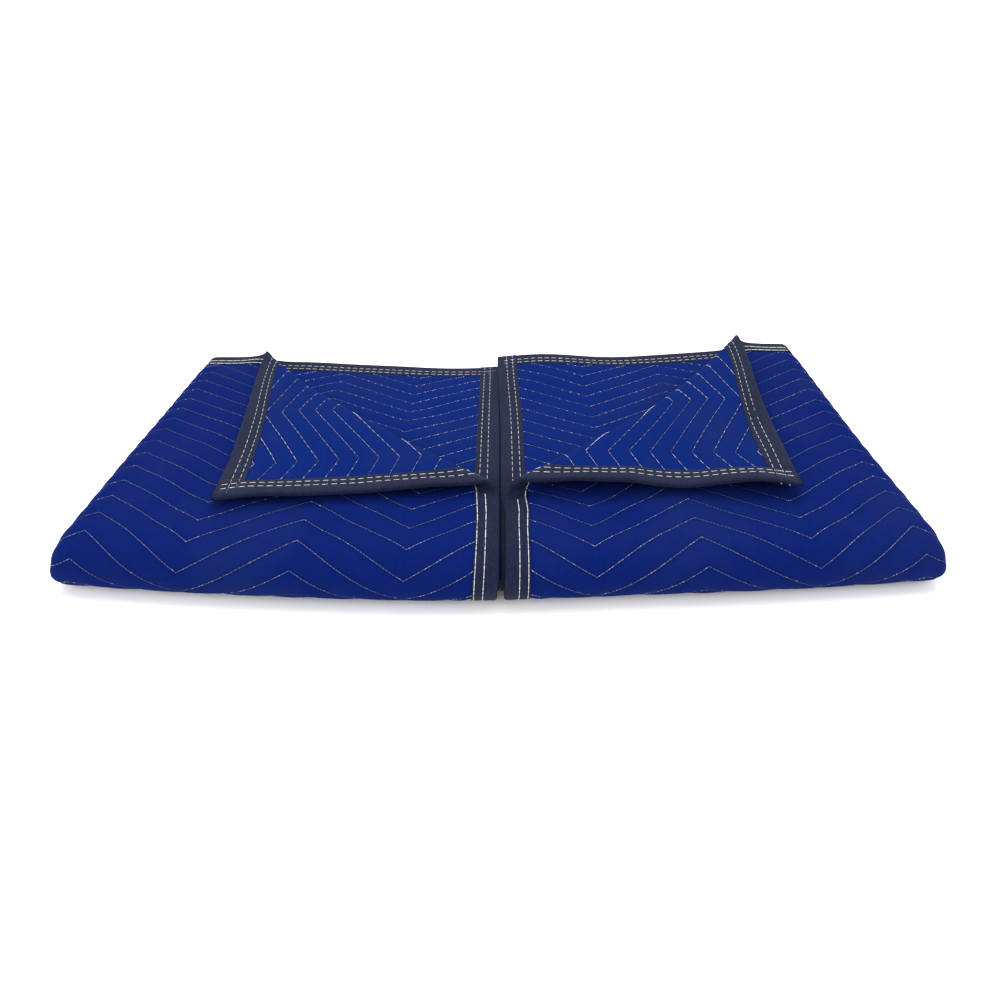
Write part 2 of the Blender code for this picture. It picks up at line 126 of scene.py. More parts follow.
HALF_FOLD_RADIUS = CLOTH + HALF_FOLD_AIR / 2
HALF_FOLD_ARC = math.pi * (HALF_FOLD_RADIUS - CLOTH / 2)
PAIR = 2 * HALF_FOLD_RADIUS
GATE_FOLD_RADIUS = PAIR + GATE_FOLD_AIR / 2
GATE_FOLD_ARC = math.pi * (GATE_FOLD_RADIUS - CLOTH / 2)
QUAD = 2 * GATE_FOLD_RADIUS
BOOK_FOLD_RADIUS = QUAD + BOOK_FOLD_AIR / 2
BOOK_FOLD_ARC = math.pi * (BOOK_FOLD_RADIUS - CLOTH / 2)
GATE_FOLD_AT = FOLDED_WIDTH / 2 - GATE_FOLD_RADIUS
GATE_FOLD_END = GATE_FOLD_AT + GATE_FOLD_ARC
TOP_RUN = FOLDED_DEPTH - BOOK_FOLD_RADIUS
UNDER_RUN = TOP_RUN - HALF_FOLD_RADIUS
BOOK_FOLD_AT = HALF_FOLD_ARC / 2 + UNDER_RUN
BOOK_FOLD_END = BOOK_FOLD_AT + BOOK_FOLD_ARC
HALF_U = 2 * GATE_FOLD_AT + GATE_FOLD_ARC - GATE_SLOT / 2
HALF_V = HALF_FOLD_ARC / 2 + UNDER_RUN + BOOK_FOLD_ARC + TOP_RUN


def smooth(t):
    """Ease from 0 to 1 as t goes from 0 to 1."""
    t = np.clip(t, 0.0, 1.0)
    return t * t * (3.0 - 2.0 * t)


def past_corner_fold(corner, p, q):
    """How far past a corner's fold line a point lies, p in from the gate's edge and q
    in from the back edge, and the direction to the corner."""
    slope = np.array((1 / corner["back"], 1 / corner["centre"]))
    length = np.linalg.norm(slope)
    return (1 - p * slope[0] - q * slope[1]) / length, -slope / length


def turn_corners(u, v, w):
    """Turn the two top corners of the lower half back over the outer face."""
    for corner in CORNERS:
        p, q = HALF_U - np.abs(u), v + HALF_V
        past, towards = past_corner_fold(corner, p, q)
        roll = corner["roll"]
        arc = math.pi * (roll + CLOTH / 2)
        angle = math.pi * np.clip(past / arc, 0, 1)
        down = np.clip((past - arc) / corner["down"], 0, 1)
        air = 2 * roll + (corner["air"] - 2 * roll) * down
        air = air + EDGE_CURL * (1 - smooth(p / CURL_WIDTH)) * smooth((past - arc) / CURL_GROWTH)
        wave = np.sin(2 * math.pi * q / WAVE_LENGTH) * (q < WAVE_LENGTH)
        wave = wave * np.exp(-((p / WAVE_DEPTH) ** 2))
        air = np.maximum(air + corner["wave"] * wave, LEAST_AIR)
        rolled = past < arc
        reach = np.where(rolled, (roll + w) * np.sin(angle), -(past - arc) * corner["give"])
        level = np.where(rolled, (roll + w) * np.cos(angle) - roll, -air - w)
        own_side = (v <= 0) & (np.sign(u) == corner["side"])
        turned = (past > 0) & own_side
        run = corner["back"] ** 2 + corner["centre"] ** 2
        share = np.clip(((corner["back"] - p) * corner["back"] + q * corner["centre"]) / run, 0, 1)
        bow = corner["bow"] * np.sin(math.pi * share) * np.exp(-(((past - arc / 2) / BOW_REACH) ** 2))
        slip = np.where(rolled, 0.0, (past - arc) * corner["slip"])
        new_p = p + (reach - past) * towards[0] - slip * towards[1]
        new_q = q + (reach - past) * towards[1] + slip * towards[0]
        new_p = np.where(turned, new_p, p) - bow * towards[0]
        new_q = np.where(turned, new_q, q) - bow * towards[1]
        u = np.where(own_side, np.copysign(HALF_U - new_p, u), u)
        v = np.where(own_side, new_q - HALF_V, v)
        w = np.where(turned, level, w)
    return u, v, w


def half_fold(v, w):
    """Fold the upper half over the lower half, inner faces together."""
    half_arc = HALF_FOLD_ARC / 2
    angle = math.pi * np.clip((v + half_arc) / HALF_FOLD_ARC, 0, 1)
    radius = HALF_FOLD_RADIUS - w
    along = np.maximum(np.abs(v) - half_arc, 0.0) - radius * np.sin(angle) * (np.abs(v) < half_arc)
    return along, HALF_FOLD_RADIUS - radius * np.cos(angle)


def gate_fold(u, w):
    """Fold both ends in to the middle."""
    across = np.abs(u)
    angle = math.pi * np.clip((across - GATE_FOLD_AT) / GATE_FOLD_ARC, 0, 1)
    radius = GATE_FOLD_RADIUS - w
    inward = np.maximum(across - GATE_FOLD_END, 0.0)
    outward = np.minimum(across, GATE_FOLD_AT)
    x = np.copysign(outward - inward + radius * np.sin(angle), u)
    return x, GATE_FOLD_RADIUS - radius * np.cos(angle)


def gate_shift(u, v, along):
    """How far a gate lies off its straight place, as x, depth and height. The gates
    nearly meet behind the kink and in the layer below, and stand open from the kink to
    the front. At the back the right gate laps over the left one, which lies askew."""
    inward = HALF_U - np.abs(u)
    depth = along - UNDER_RUN - BOOK_FOLD_ARC
    below = smooth(v / BELOW_FADE)
    shut = np.maximum(smooth((depth - KINK_AT) / KINK_WIDTH), below)
    above = np.maximum(smooth((along - UNDER_RUN) / BOOK_FOLD_ARC), below)
    edge = above * np.exp(-((inward / GATE_SHIFT_REACH) ** 2))
    behind = smooth((depth - LAP_FROM) / (TOP_RUN - LAP_FROM))
    lap = behind * np.exp(-((inward / LAP_REACH) ** 2))
    askew = smooth(depth / TOP_RUN) * np.exp(-((inward / GATE_BACK_REACH) ** 2))
    shift_x, shift_depth, shift_z = 0.0, 0.0, 0.0
    for gate in GATES:
        own = (np.abs(u) > GATE_FOLD_END) & (np.sign(u) == gate["side"])
        opening = gate["opens"] + (GATE_SHUTS - gate["opens"]) * shut
        shift_x = shift_x + own * gate["side"] * (opening * edge - gate["laps"] * lap)
        shift_depth = shift_depth + own * gate["back"] * askew
        shift_z = shift_z + own * gate["lifts"] * lap
    return shift_x, shift_depth, shift_z


def book_fold(along, w):
    """Fold the stack in half with the gates outside. Depth is from the fold's front."""
    radius = BOOK_FOLD_AIR / 2 + w
    angle = math.pi * np.clip((along - UNDER_RUN) / BOOK_FOLD_ARC, 0, 1)
    flat = np.maximum(UNDER_RUN - along, 0.0) + np.maximum(along - UNDER_RUN - BOOK_FOLD_ARC, 0.0)
    return BOOK_FOLD_RADIUS + flat - radius * np.sin(angle), BOOK_FOLD_RADIUS - radius * np.cos(angle)


def settle(x, depth, z):
    """Let the folded stack swell and lie unevenly, with its underside flat."""
    across = x / (FOLDED_WIDTH / 2)
    along = depth / FOLDED_DEPTH
    lift = 0.0
    for puff in PUFFS:
        dx = (x - puff["x"]) / puff["reach_x"]
        dy = (depth - puff["y"]) / puff["reach_y"]
        lift = lift + puff["rise"] * np.exp(-dx * dx - dy * dy)
    reach = RIGHT_REACH * smooth(across) * along
    swell = FRONT_SWELL * (1 - across * across) * (1 - along) ** 2
    left = smooth((LEFT_FRONT_FROM - across) / LEFT_FRONT_OVER)
    swell = swell + LEFT_FRONT_REACH * left * (1 - along) ** 4
    level = z / (2 * BOOK_FOLD_RADIUS)
    lean = TOP_NARROWER * (1 - along) * level**2
    rise = 0.0
    for crease in CREASES:
        heading = math.radians(crease["heading"])
        dx, dy = x - crease["x"], depth - crease["y"]
        lengthwise = (dx * math.cos(heading) + dy * math.sin(heading)) / crease["long"]
        sideways = (dy * math.cos(heading) - dx * math.sin(heading)) / crease["wide"]
        rise = rise + crease["rise"] * np.exp(-(lengthwise**2) - sideways**2)
    for ripple in RIPPLES:
        turn = ripple["across"] * x + ripple["along"] * depth + ripple["start"]
        rise = rise + ripple["rise"] * np.sin(turn)
    rise = rise * np.clip(level, 0, 1) ** 3
    return x * (1 - lean), depth + reach - swell, z * (1 + lift) + rise


def fold(u, v, w):
    """Where points of the flat cloth lie in the folded blanket, as rows of x, y, z."""
    u, v, w = (np.asarray(a, dtype=float) for a in np.broadcast_arrays(u, v, w))
    u, v, w = turn_corners(u, v, w)
    along, w = half_fold(v, w)
    x, w = gate_fold(u, w)
    depth, z = book_fold(along, w)
    shift_x, shift_depth, shift_z = gate_shift(u, v, along)
    x, depth, z = settle(x + shift_x, depth + shift_depth, z + shift_z)
    middle = (FOLDED_DEPTH + RIGHT_REACH - FRONT_SWELL) / 2
    return np.stack((x, depth - middle, z), axis=-1)


# Chevron quilting, sewn through the whole cloth in rows that run across the stack
ROW_PITCH = 0.028
CHEVRON_HALF = 0.1249
CHEVRON_RISE = 0.063
FIRST_VERTEX_LOWER = 0.101
FIRST_VERTEX_UPPER = 0.009
DRIFT_START = -0.10
DRIFT_END = 0.42
FLAP_DRIFT = 0.034
FLAP_DRIFT_FROM = 0.565
FLAP_DRIFT_OVER = 0.070
FLAP_DRIFT_INWARD = 0.22
FLAP_DRIFT_FADE = 0.15
QUILT_DEPTH = 0.0014
PRESSED_HALF = 0.0016
PRESSED_WIDTH = 0.0270
SWELL_WIDTH = 0.0400
CLOTH_EDGE = 0.0020


def chevron(u, v):
    """Offset along v of every quilting row at a place on the cloth."""
    drift = smooth((v - DRIFT_START) / (DRIFT_END - DRIFT_START))
    first = FIRST_VERTEX_LOWER + (FIRST_VERTEX_UPPER - FIRST_VERTEX_LOWER) * drift
    inward = HALF_U - np.abs(u)
    near_back = smooth((-v - FLAP_DRIFT_FROM) / FLAP_DRIFT_OVER)
    near_back = near_back * (1 - smooth((inward - FLAP_DRIFT_INWARD) / FLAP_DRIFT_FADE))
    first = first - FLAP_DRIFT * near_back
    steps = np.mod((HALF_U - first - np.abs(u)) / CHEVRON_HALF, 2.0)
    return CHEVRON_RISE * (1 - np.abs(steps - 1))


def face_half(u, v):
    """Half the cloth's thickness: puffed between rows, pressed flat at the edges."""
    edge = np.minimum(HALF_U - np.abs(u), HALF_V - np.abs(v))
    swell = smooth((edge - PRESSED_WIDTH) / (SWELL_WIDTH - PRESSED_WIDTH))
    row = (v + chevron(u, v)) / ROW_PITCH
    near = np.abs(np.mod(row + 0.5, 1.0) - 0.5) * 2
    dip = QUILT_DEPTH * (1 - near) ** 2
    return PRESSED_HALF + (CLOTH / 2 - PRESSED_HALF - dip) * swell


def lines_between(stops):
    """Grid values: each stop is (from, to, spacing)."""
    values = []
    for start, end, spacing in stops:
        count = max(1, round(abs(end - start) / spacing))
        values.extend(np.linspace(start, end, count + 1)[:-1])
    return values + [stops[-1][1]]


FINE = 0.0057
ROLL_STEP = 0.0026
COARSE = 0.045

across_half = lines_between((
    (0.0, GATE_FOLD_AT, COARSE),
    (GATE_FOLD_AT, GATE_FOLD_END, ROLL_STEP),
    (GATE_FOLD_END, HALF_U - CLOTH_EDGE, FINE),
))
grid_u = np.array([-value for value in reversed(across_half[1:])] + across_half)
grid_v = np.array(lines_between((
    (-HALF_V + CLOTH_EDGE, -BOOK_FOLD_END, FINE),
    (-BOOK_FOLD_END, -BOOK_FOLD_AT, 2 * ROLL_STEP),
    (-BOOK_FOLD_AT, -HALF_FOLD_ARC / 2, COARSE / 2),
    (-HALF_FOLD_ARC / 2, HALF_FOLD_ARC / 2, ROLL_STEP / 1.5),
    (HALF_FOLD_ARC / 2, BOOK_FOLD_AT, COARSE / 2),
    (BOOK_FOLD_AT, BOOK_FOLD_END, 3 * ROLL_STEP),
    (BOOK_FOLD_END, HALF_V - CLOTH_EDGE, FINE * 1.1),
)))


def add_mesh(name, points, faces, flat):
    """A smooth shaded mesh object, with its flat cloth places kept as an attribute."""
    data = bpy.data.meshes.new(name)
    data.from_pydata(points.tolist(), [], faces)
    data.shade_smooth()
    place = data.attributes.new("flat_place", "FLOAT_VECTOR", "POINT")
    place.data.foreach_set("vector", np.asarray(flat, dtype=np.float32).ravel())
    piece = bpy.data.objects.new(name, data)
    bpy.context.scene.collection.objects.link(piece)
    return piece


columns, rows = len(grid_u), len(grid_v)
sheet_u, sheet_v = (a.ravel() for a in np.meshgrid(grid_u, grid_v, indexing="ij"))
half = face_half(sheet_u, sheet_v)
levels = np.concatenate((CLOTH / 2 - half, CLOTH / 2 + half))
flat_u, flat_v = np.tile(sheet_u, 2), np.tile(sheet_v, 2)
cloth_faces = []
inner_start = columns * rows
for i in range(columns - 1):
    for j in range(rows - 1):
        a = i * rows + j
        quad = (a, a + 1, a + rows + 1, a + rows)
        cloth_faces.append(quad)
        cloth_faces.append(tuple(inner_start + k for k in reversed(quad)))
rim = [i * rows for i in range(columns)]
rim += [(columns - 1) * rows + j for j in range(1, rows)]
rim += [i * rows + rows - 1 for i in range(columns - 2, -1, -1)]
rim += list(range(rows - 2, 0, -1))
for a, b in zip(rim, rim[1:] + rim[:1]):
    cloth_faces.append((a, b, inner_start + b, inner_start + a))
cloth = add_mesh(
    "quilted_blanket", fold(flat_u, flat_v, levels), cloth_faces,
    np.stack((flat_u, flat_v, levels), axis=-1),
)


def socket_maker(group):
    """Two short calls that add a group's inputs and outputs."""
    def into(name, kind="NodeSocketFloat", value=None):
        socket = group.interface.new_socket(name=name, in_out="INPUT", socket_type=kind)
        if value is not None:
            socket.default_value = value

    def out(name, kind="NodeSocketFloat"):
        group.interface.new_socket(name=name, in_out="OUTPUT", socket_type=kind)

    return into, out


class Nodes:
    """Short calls for laying nodes in one tree."""

    def __init__(self, tree):
        self.tree = tree

    def add(self, kind, **settings):
        node = self.tree.nodes.new(kind)
        for key, value in settings.items():
            setattr(node, key, value)
        return node

    def link(self, source, target):
        self.tree.links.new(source, target)

    def feed(self, socket, value):
        if isinstance(value, (int, float, tuple)):
            socket.default_value = value
        else:
            self.link(value, socket)

    def math(self, operation, first, second=0.0, third=0.0):
        node = self.add("ShaderNodeMath", operation=operation)
        for socket, value in zip(node.inputs, (first, second, third)):
            self.feed(socket, value)
        return node.outputs[0]

    def mix(self, factor, first, second):
        node = self.add("ShaderNodeMix", data_type="RGBA")
        self.feed(node.inputs["Factor"], factor)
        self.feed(node.inputs[6], first)
        self.feed(node.inputs[7], second)
        return node.outputs[2]

    def ramp(self, value, low, high, out_low=0.0, out_high=1.0):
        node = self.add("ShaderNodeMapRange", interpolation_type="SMOOTHSTEP")
        for socket, number in zip(node.inputs[:5], (value, low, high, out_low, out_high)):
            self.feed(socket, number)
        return node.outputs[0]

    def noise(self, vector, scale, detail=2.0, roughness=0.5):
        node = self.add("ShaderNodeTexNoise")
        self.feed(node.inputs["Vector"], vector)
        self.feed(node.inputs["Scale"], scale)
        self.feed(node.inputs["Detail"], detail)
        self.feed(node.inputs["Roughness"], roughness)
        return node.outputs[0]


def make_chevron_group():
    """Distance to the nearest quilting row and place along it, from the flat place."""
    group = bpy.data.node_groups.new("chevron_rows", "ShaderNodeTree")
    into, out = socket_maker(group)
    into("Place", "NodeSocketVector")
    out("Distance")
    out("Stitch")
    out("Crease")
    n = Nodes(group)
    given = n.add("NodeGroupInput")
    split = n.add("ShaderNodeSeparateXYZ")
    n.link(given.outputs["Place"], split.inputs[0])
    drift = n.ramp(split.outputs[1], DRIFT_START, DRIFT_END)
    first = n.math("MULTIPLY_ADD", drift, FIRST_VERTEX_UPPER - FIRST_VERTEX_LOWER, FIRST_VERTEX_LOWER)
    across = n.math("ABSOLUTE", split.outputs[0])
    drift_end = -(FLAP_DRIFT_FROM + FLAP_DRIFT_OVER)
    near_back = n.ramp(split.outputs[1], drift_end, -FLAP_DRIFT_FROM, 1.0, 0.0)
    near_gate_edge = HALF_U - FLAP_DRIFT_INWARD
    near_edge = n.ramp(across, near_gate_edge - FLAP_DRIFT_FADE, near_gate_edge)
    near_back = n.math("MULTIPLY", near_back, near_edge)
    first = n.math("MULTIPLY_ADD", near_back, -FLAP_DRIFT, first)
    from_first = n.math("SUBTRACT", n.math("SUBTRACT", HALF_U, first), across)
    steps = n.math("PINGPONG", n.math("DIVIDE", from_first, CHEVRON_HALF), 1.0)
    row = n.math("DIVIDE", n.math("MULTIPLY_ADD", steps, CHEVRON_RISE, split.outputs[1]), ROW_PITCH)
    off = n.math("PINGPONG", row, 0.5)
    slope = CHEVRON_HALF / math.hypot(CHEVRON_HALF, CHEVRON_RISE)
    distance = n.math("MULTIPLY", off, ROW_PITCH * slope)
    along = n.math("DIVIDE", across, STITCH_PITCH * slope)
    stitch = n.ramp(n.math("PINGPONG", along, 0.5), 0.08, 0.16)
    result = n.add("NodeGroupOutput")
    n.link(distance, result.inputs["Distance"])
    n.link(stitch, result.inputs["Stitch"])
    n.link(n.ramp(distance, 0.0, 0.0045, 1.0, 0.0), result.inputs["Crease"])
    return group


def make_weave_group():
    """Fine plain weave with slubs and a soft nap, from the flat place."""
    group = bpy.data.node_groups.new("woven_face", "ShaderNodeTree")
    into, out = socket_maker(group)
    into("Place", "NodeSocketVector")
    into("Thread Pitch", value=0.0009)
    out("Height")
    out("Mottle")
    out("Nap")
    n = Nodes(group)
    given = n.add("NodeGroupInput")
    place = given.outputs["Place"]
    split = n.add("ShaderNodeSeparateXYZ")
    n.link(place, split.inputs[0])
    turn = n.math("DIVIDE", 2 * math.pi, given.outputs["Thread Pitch"])
    warp = n.math("SINE", n.math("MULTIPLY", split.outputs[0], turn))
    weft = n.math("SINE", n.math("MULTIPLY", split.outputs[1], turn))
    weave = n.math("MULTIPLY", warp, weft)
    fuzz = n.noise(place, 900.0, 3.0, 0.7)
    height = n.math("MULTIPLY_ADD", weave, 0.35, n.math("MULTIPLY", fuzz, 1.2))
    result = n.add("NodeGroupOutput")
    n.link(height, result.inputs["Height"])
    n.link(n.noise(place, 7.0, 4.0, 0.6), result.inputs["Mottle"])
    n.link(n.noise(place, 240.0, 3.0, 0.65), result.inputs["Nap"])
    return group


def place_of(n):
    """The flat place that the mesh carries."""
    return n.add("ShaderNodeAttribute", attribute_name="flat_place").outputs["Vector"]


def use_group(n, group, **values):
    """Place a node group and feed its named inputs."""
    node = n.add("ShaderNodeGroup", node_tree=group)
    for key, value in values.items():
        n.feed(node.inputs[key.replace("_", " ").title()], value)
    return node.outputs


STITCH_PITCH = 0.0043
OUTER_BLUE = (0.0012, 0.0072, 0.078, 1.0)
INNER_BLUE = (0.0010, 0.0100, 0.092, 1.0)
WORN_BLUE = (0.0050, 0.0120, 0.078, 1.0)
NAP_BLUE = (0.0030, 0.0140, 0.115, 1.0)
# The next blue is painted shade for the quilting grooves.
GROOVE_SHADE_BLUE = (0.0008, 0.0034, 0.036, 1.0)
CLOTH_THREAD = (0.22, 0.24, 0.36, 1.0)

chevron_rows = make_chevron_group()
woven_face = make_weave_group()

cloth_look = bpy.data.materials.new("quilted_cotton_shell")
cloth_look.use_nodes = True
n = Nodes(cloth_look.node_tree)
shell = cloth_look.node_tree.nodes["Principled BSDF"]
place = place_of(n)
weave = use_group(n, woven_face, place=place, thread_pitch=0.0010)
quilting = use_group(n, chevron_rows, place=place)
level = n.add("ShaderNodeSeparateXYZ")
n.link(place, level.inputs[0])
inner_side = n.ramp(level.outputs[2], CLOTH * 0.45, CLOTH * 0.55)
dye = n.mix(inner_side, OUTER_BLUE, INNER_BLUE)
rubbed = n.math("MULTIPLY", n.ramp(weave["Mottle"], 0.44, 0.70), 0.60)
dye = n.mix(rubbed, dye, WORN_BLUE)
dye = n.mix(n.ramp(weave["Nap"], 0.35, 0.75, 0.0, 0.30), dye, NAP_BLUE)
# Painted shade: the dye is darkened along the quilting rows' grooves, where shade falls.
dye = n.mix(n.math("MULTIPLY", quilting["Crease"], 0.40), dye, GROOVE_SHADE_BLUE)
thread_here = n.ramp(quilting["Distance"], 0.00022, 0.00042, 1.0, 0.0)
thread_here = n.math("MULTIPLY", thread_here, quilting["Stitch"])
dye = n.mix(n.math("MULTIPLY", thread_here, 0.30), dye, CLOTH_THREAD)
n.link(dye, shell.inputs["Base Color"])
n.link(n.ramp(weave["Nap"], 0.3, 0.8, 0.80, 0.95), shell.inputs["Roughness"])
relief = n.math("MULTIPLY_ADD", quilting["Crease"], -2.2, weave["Height"])
bump = n.add("ShaderNodeBump")
bump.inputs["Strength"].default_value = 0.55
bump.inputs["Distance"].default_value = 0.00028
n.link(relief, bump.inputs["Height"])
n.link(bump.outputs[0], shell.inputs["Normal"])
shell.inputs["Specular IOR Level"].default_value = 0.022
shell.inputs["Sheen Weight"].default_value = 0.02
shell.inputs["Sheen Roughness"].default_value = 0.5
shell.inputs["Sheen Tint"].default_value = (0.25, 0.40, 1.0, 1.0)
cloth.data.materials.append(cloth_look)
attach(cloth, "root")
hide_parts("quilted_cloth")

# The bindings are woven tape folded over the cloth's four edges, a little wider on the
# inner face, and sewn through with two rows. The end tapes run the full length of the
# ends. The side tapes stop against them, but their stitching runs on to the corners.
TAPE_WIDTH = 0.028
TAPE_INNER_WIDTH = 0.0325
TAPE_HALF = 0.0031
TAPE_UNDERSIDE = 0.0019
TAPE_EDGE_FOLD = 0.0016
TAPE_ROUNDING = 0.0024
TAPE_RIPPLE = 0.00012
RIPPLE_PITCHES = (0.019, 0.137)
STITCH_DIP = 0.00045
STITCH_DIP_WIDTH = 0.0022
TAPE_STEP = 0.0055
TAPE_GAP = 0.0004
STITCH_ROWS = (0.0160, 0.0258)
TAPE_SIDES = (
    {"name": "end_tape_left", "node": "end_binding_left", "along_u": False, "side": -1},
    {"name": "end_tape_right", "node": "end_binding_right", "along_u": False, "side": 1},
    {"name": "side_tape_top", "node": "side_binding_top", "along_u": True, "side": -1},
    {"name": "side_tape_second", "node": "side_binding_second", "along_u": True, "side": 1},
)


def tape_height(inward):
    """Height of the tape's outer face over the cloth's middle: drawn in by each row
    of stitches and rounded at the edge."""
    dip = sum(np.exp(-((inward - row) / STITCH_DIP_WIDTH) ** 2) for row in STITCH_ROWS)
    from_edge = np.clip(inward / TAPE_ROUNDING, 0.0, 1.0)
    return TAPE_HALF * np.sqrt(from_edge * (2 - from_edge)) - STITCH_DIP * dip


def tape_outline():
    """Closed outline across the tape: (inward from the edge, height over the middle)."""
    outside = (
        0.0280, 0.0272, 0.0258, 0.0240, 0.0209, 0.0178, 0.0160, 0.0142, 0.0100, 0.0055,
        0.0024, 0.0011, 0.0003,
    )
    lower = [(value, -float(tape_height(value))) for value in reversed(outside)]
    upper = [(value, -height) for value, height in reversed(lower)]
    upper = [(TAPE_INNER_WIDTH, TAPE_HALF * 0.93), (TAPE_INNER_WIDTH - 0.0008, TAPE_HALF)] + upper
    inside = [
        (TAPE_WIDTH, -TAPE_UNDERSIDE), (TAPE_EDGE_FOLD, -TAPE_UNDERSIDE),
        (TAPE_EDGE_FOLD, TAPE_UNDERSIDE), (TAPE_INNER_WIDTH, TAPE_UNDERSIDE),
    ]
    return upper + lower + inside


def tape_places(along_u, side, along, inward):
    """Flat u and v of a place on an edge."""
    across = side * ((HALF_V if along_u else HALF_U) - inward)
    return (along, across) if along_u else (across, along)


def make_tape(name, along_u, side):
    """One binding, its outline swept along the edge and through the folds."""
    reach = HALF_U - TAPE_WIDTH - TAPE_GAP if along_u else HALF_V
    stations = np.linspace(-reach, reach, round(2 * reach / TAPE_STEP) + 1)
    outline = np.array(tape_outline())
    size = len(outline)
    along = np.repeat(stations, size)
    inward = np.tile(outline[:, 0], len(stations))
    height = np.tile(outline[:, 1], len(stations))
    if along_u:
        along = along * np.where(height > 0, (reach - TAPE_INNER_WIDTH + TAPE_WIDTH) / reach, 1.0)
    short, long = (np.sin(along * 2 * math.pi / pitch) for pitch in RIPPLE_PITCHES)
    height = height + np.sign(height) * TAPE_RIPPLE * short * long
    u, v = tape_places(along_u, side, along, inward)
    faces = []
    for s in range(len(stations) - 1):
        for k in range(size):
            a, b = s * size + k, s * size + (k + 1) % size
            faces.append((a, b, b + size, a + size))
    for start in (0, (len(stations) - 1) * size):
        faces.append(tuple(start + k for k in range(size)))
    return add_mesh(name, fold(u, v, CLOTH / 2 + height), faces, np.stack((along, inward, height), axis=-1))


TAPE_NAVY = (0.0052, 0.0082, 0.0260, 1.0)
TAPE_LIGHT = (0.0150, 0.0190, 0.0420, 1.0)
TAPE_DARK = (0.0030, 0.0045, 0.0140, 1.0)
tape_look = bpy.data.materials.new("navy_binding_tape")
tape_look.use_nodes = True
n = Nodes(tape_look.node_tree)
shell = tape_look.node_tree.nodes["Principled BSDF"]
place = place_of(n)
weave = use_group(n, woven_face, place=place, thread_pitch=0.0008)
dye = n.mix(n.ramp(weave["Nap"], 0.35, 0.80, 0.0, 0.6), TAPE_NAVY, TAPE_LIGHT)
dye = n.mix(n.ramp(weave["Mottle"], 0.40, 0.70, 0.0, 0.4), dye, TAPE_DARK)
n.link(dye, shell.inputs["Base Color"])
shell.inputs["Roughness"].default_value = 0.86
bump = n.add("ShaderNodeBump")
bump.inputs["Strength"].default_value = 0.6
bump.inputs["Distance"].default_value = 0.0003
n.link(weave["Height"], bump.inputs["Height"])
n.link(bump.outputs[0], shell.inputs["Normal"])
shell.inputs["Specular IOR Level"].default_value = 0.08
shell.inputs["Sheen Weight"].default_value = 0.03
shell.inputs["Sheen Roughness"].default_value = 0.5

for row in TAPE_SIDES:
    tape = make_tape(row["name"], row["along_u"], row["side"])
    tape.data.materials.append(tape_look)
    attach(tape, "root")
    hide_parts(row["node"])

# The sewing thread is off-white twisted cotton. Each stitch is a short raised loop that
# dives into the cloth at both ends. The quilting stitches are fine. Those of the
# bindings are bold, and nearly touch end to end on the outer face.
ROLL_HIDDEN = 0.2
FRONT_UNDER = 0.02
FOLD_CLEAR = 0.005
BARED_CLEAR = 0.001
STITCH_CREST = 0.62
STITCH_DIVE = 0.6
STITCH_SKIRT = 0.2


def lay_stitches(name, centre_u, centre_v, step_u, step_v, level, up, half_wide, high):
    """Joined raised stitches. Each runs from centre minus step to centre plus step in
    the flat cloth, at a face's level, standing up along w."""
    count = len(centre_u)
    length = np.hypot(step_u, step_v)
    side_u, side_v = -step_v / length * half_wide, step_u / length * half_wide
    parts = [(-1.0, 0.0, -STITCH_DIVE)]
    for t in (-STITCH_CREST, STITCH_CREST):
        parts += [(t, -1.0, -STITCH_SKIRT), (t, 0.0, 1.0), (t, 1.0, -STITCH_SKIRT)]
    parts.append((1.0, 0.0, -STITCH_DIVE))
    size = len(parts)
    u = np.empty((count, size))
    v = np.empty((count, size))
    w = np.empty((count, size))
    for k, (t, s, h) in enumerate(parts):
        u[:, k] = centre_u + step_u * t + side_u * s
        v[:, k] = centre_v + step_v * t + side_v * s
        w[:, k] = level + up * high * h
    pattern = [(0, 2, 1), (0, 3, 2), (0, 1, 3), (7, 4, 5), (7, 5, 6), (7, 6, 4)]
    pattern += [(1, 2, 5, 4), (2, 3, 6, 5), (3, 1, 4, 6)]
    faces = [tuple(base + k for k in face) for base in range(0, count * size, size) for face in pattern]
    flat = np.stack((u.ravel(), v.ravel(), w.ravel()), axis=-1)
    return add_mesh(name, fold(u.ravel(), v.ravel(), w.ravel()), faces, flat)


def seen_outer(u, v):
    """Where the outer face shows: gates and side rolls, from the back edge round the
    front, less the turned corners."""
    side_roll = GATE_FOLD_AT + GATE_FOLD_ARC * ROLL_HIDDEN
    shows = (np.abs(u) > side_roll) & (v < -BOOK_FOLD_AT + FRONT_UNDER)
    for corner in CORNERS:
        past, towards = past_corner_fold(corner, HALF_U - np.abs(u), v + HALF_V)
        arc = math.pi * (corner["roll"] + CLOTH / 2)
        shows &= (past < arc * ROLL_HIDDEN) | (np.sign(u) != corner["side"])
    return shows


def seen_inner(u, v):
    """Where the inner face shows: on the turned corners and on what they bare."""
    shows = np.zeros(u.shape, dtype=bool)
    for corner in CORNERS:
        own = np.sign(u) == corner["side"]
        past, towards = past_corner_fold(corner, HALF_U - np.abs(u), HALF_V - np.abs(v))
        in_corner = past > np.where(v < 0, FOLD_CLEAR, BARED_CLEAR)
        in_gate = (np.abs(u) > GATE_FOLD_END) & (np.abs(v) > BOOK_FOLD_END)
        shows |= own & in_corner & in_gate
    return shows


